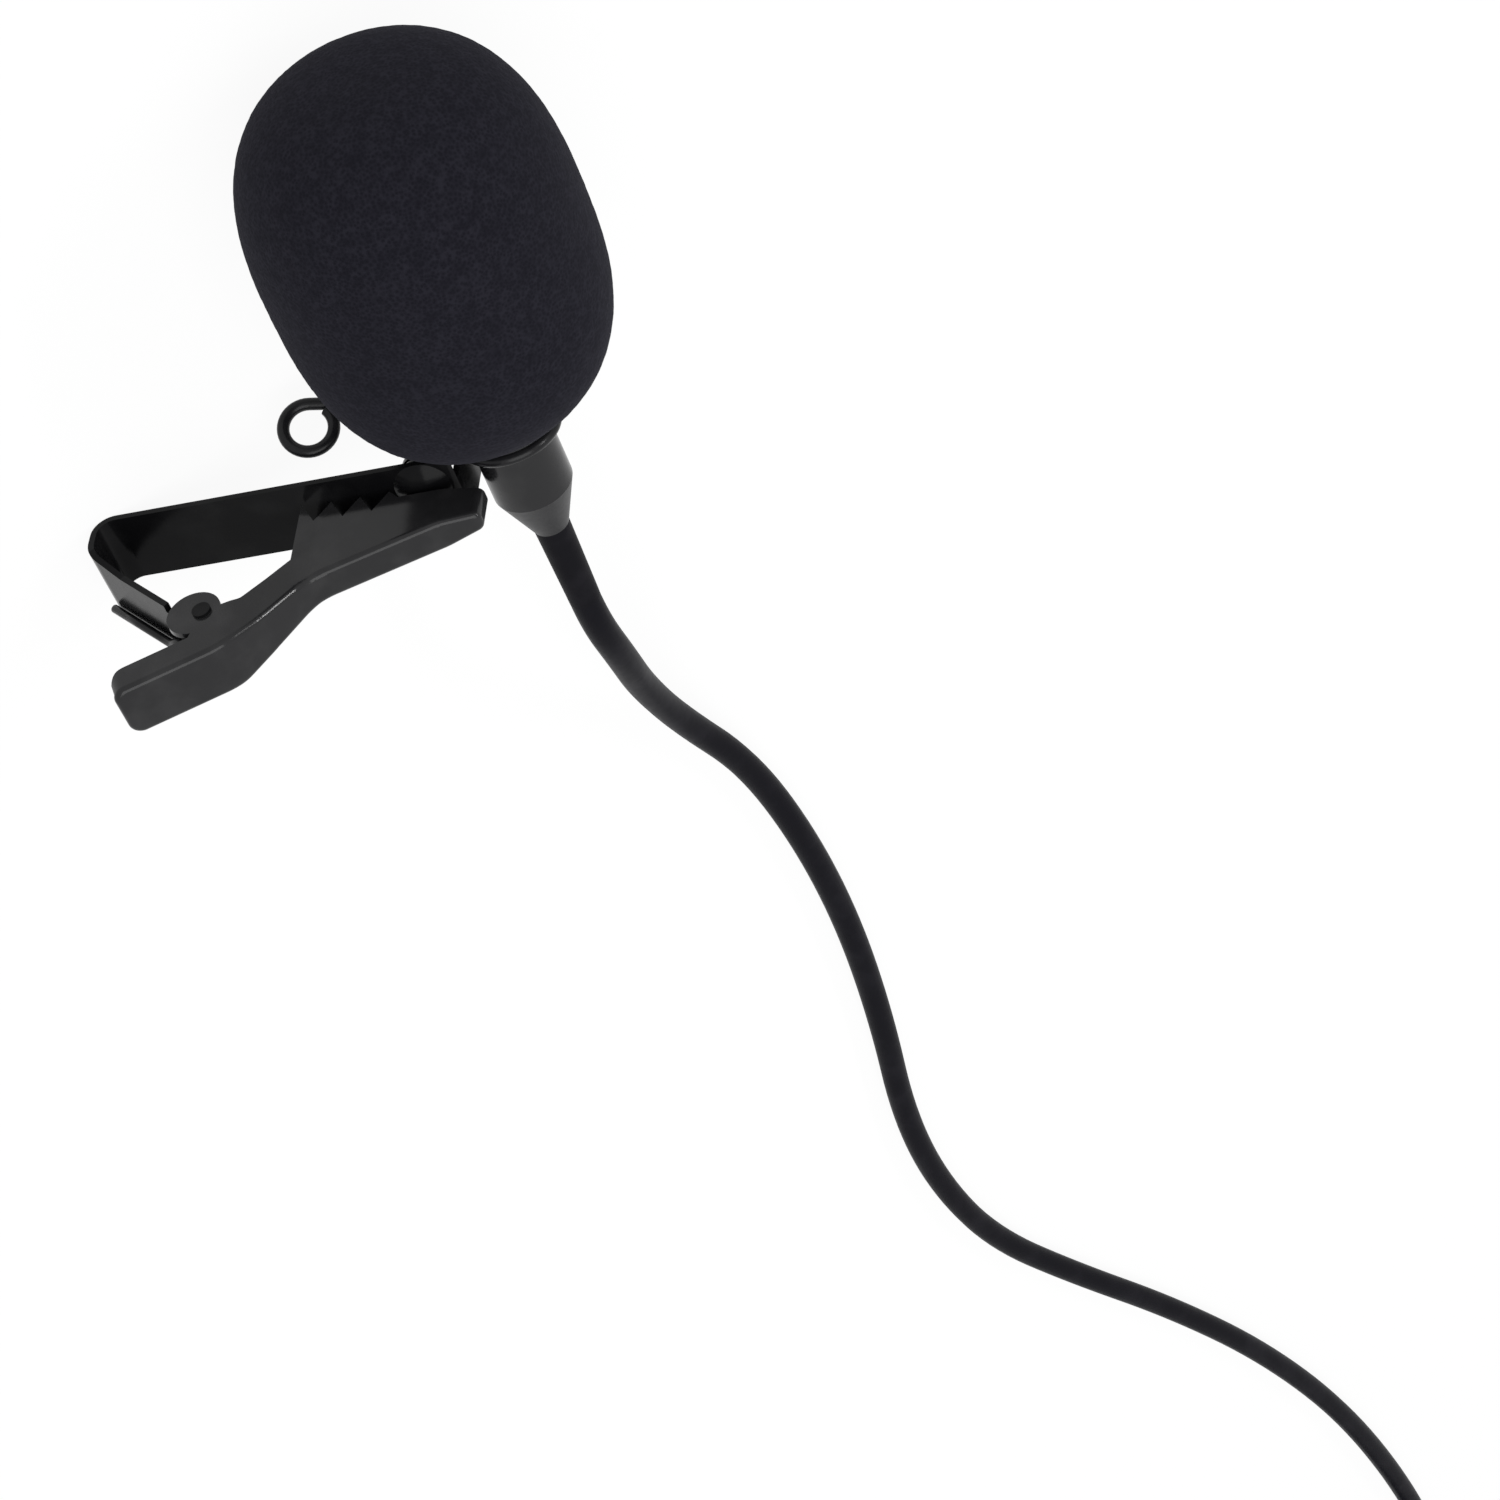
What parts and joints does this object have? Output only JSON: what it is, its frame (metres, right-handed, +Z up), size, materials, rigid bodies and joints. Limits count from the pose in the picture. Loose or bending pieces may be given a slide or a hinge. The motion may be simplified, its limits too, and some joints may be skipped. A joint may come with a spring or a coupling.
{
  "type": "lavalier microphone",
  "caption": "Clip-on lavalier microphone with a foam windscreen, a spring clip held by a wire ring, and a thin cable that ends in a stereo plug.",
  "frame": {"origin": "middle of the footprint of the head and clip on the table, without the cable", "axes": "+Z up from the table, +Y along the head's axis towards the cable, +X towards the clip"},
  "size_m": [0.1103, 0.3005, 0.025],
  "materials": {
    "foam": "open-cell foam, matte",
    "housing": "satin black",
    "felt": "matte",
    "steel": "satin",
    "soft_black": "matte",
    "board": "gloss",
    "plastic": "satin black",
    "cable": "satin black",
    "clip": "gloss black",
    "wire": "gloss black",
    "contact": "polished"
  },
  "bodies": {
    "head": {"mic_housing": "housing", "grille_cap": "housing", "grille_felt": "felt", "capsule": "steel", "capsule_gasket": "soft_black", "capsule_board": "board", "cable_clamp": "steel", "tail_cone": "plastic", "strain_relief": "soft_black", "inner_cable": "cable", "cable_lead": "cable", "cable_coil": "cable", "cable_tail": "cable", "plug_strain_relief": "soft_black", "plug_barrel": "plastic", "plug_sleeve": "contact", "plug_insulator_rear": "plastic", "plug_ring": "contact", "plug_insulator_front": "plastic", "plug_tip": "contact"},
    "foam": {"windscreen": "foam"},
    "clip": {"upper_jaw": "clip", "holder_wire": "wire", "holder_rivet": "clip", "closing_spring": "clip"},
    "lever": {"lower_jaw": "clip", "hinge_pin": "clip"}
  },
  "joints": [
    {"name": "windscreen_slide", "type": "slide", "parent": "head", "child": "foam", "axis": [0, -1, 0], "range_m": [0, 0.014]},
    {"name": "clip_swivel", "type": "hinge", "parent": "head", "child": "clip", "pos_m": [-0.01199, 0.00908, 0.01225], "axis": [0, 1, 0], "continuous": true},
    {"name": "lever_open", "type": "hinge", "parent": "clip", "child": "lever", "pos_m": [0.01567, 0.00918, 0.01505], "axis": [0, 1, 0], "range_deg": [0, 25], "stiffness_Nm_per_rad": 0.06, "springref_deg": -28.65, "deforming": ["closing_spring"]}
  ]
}
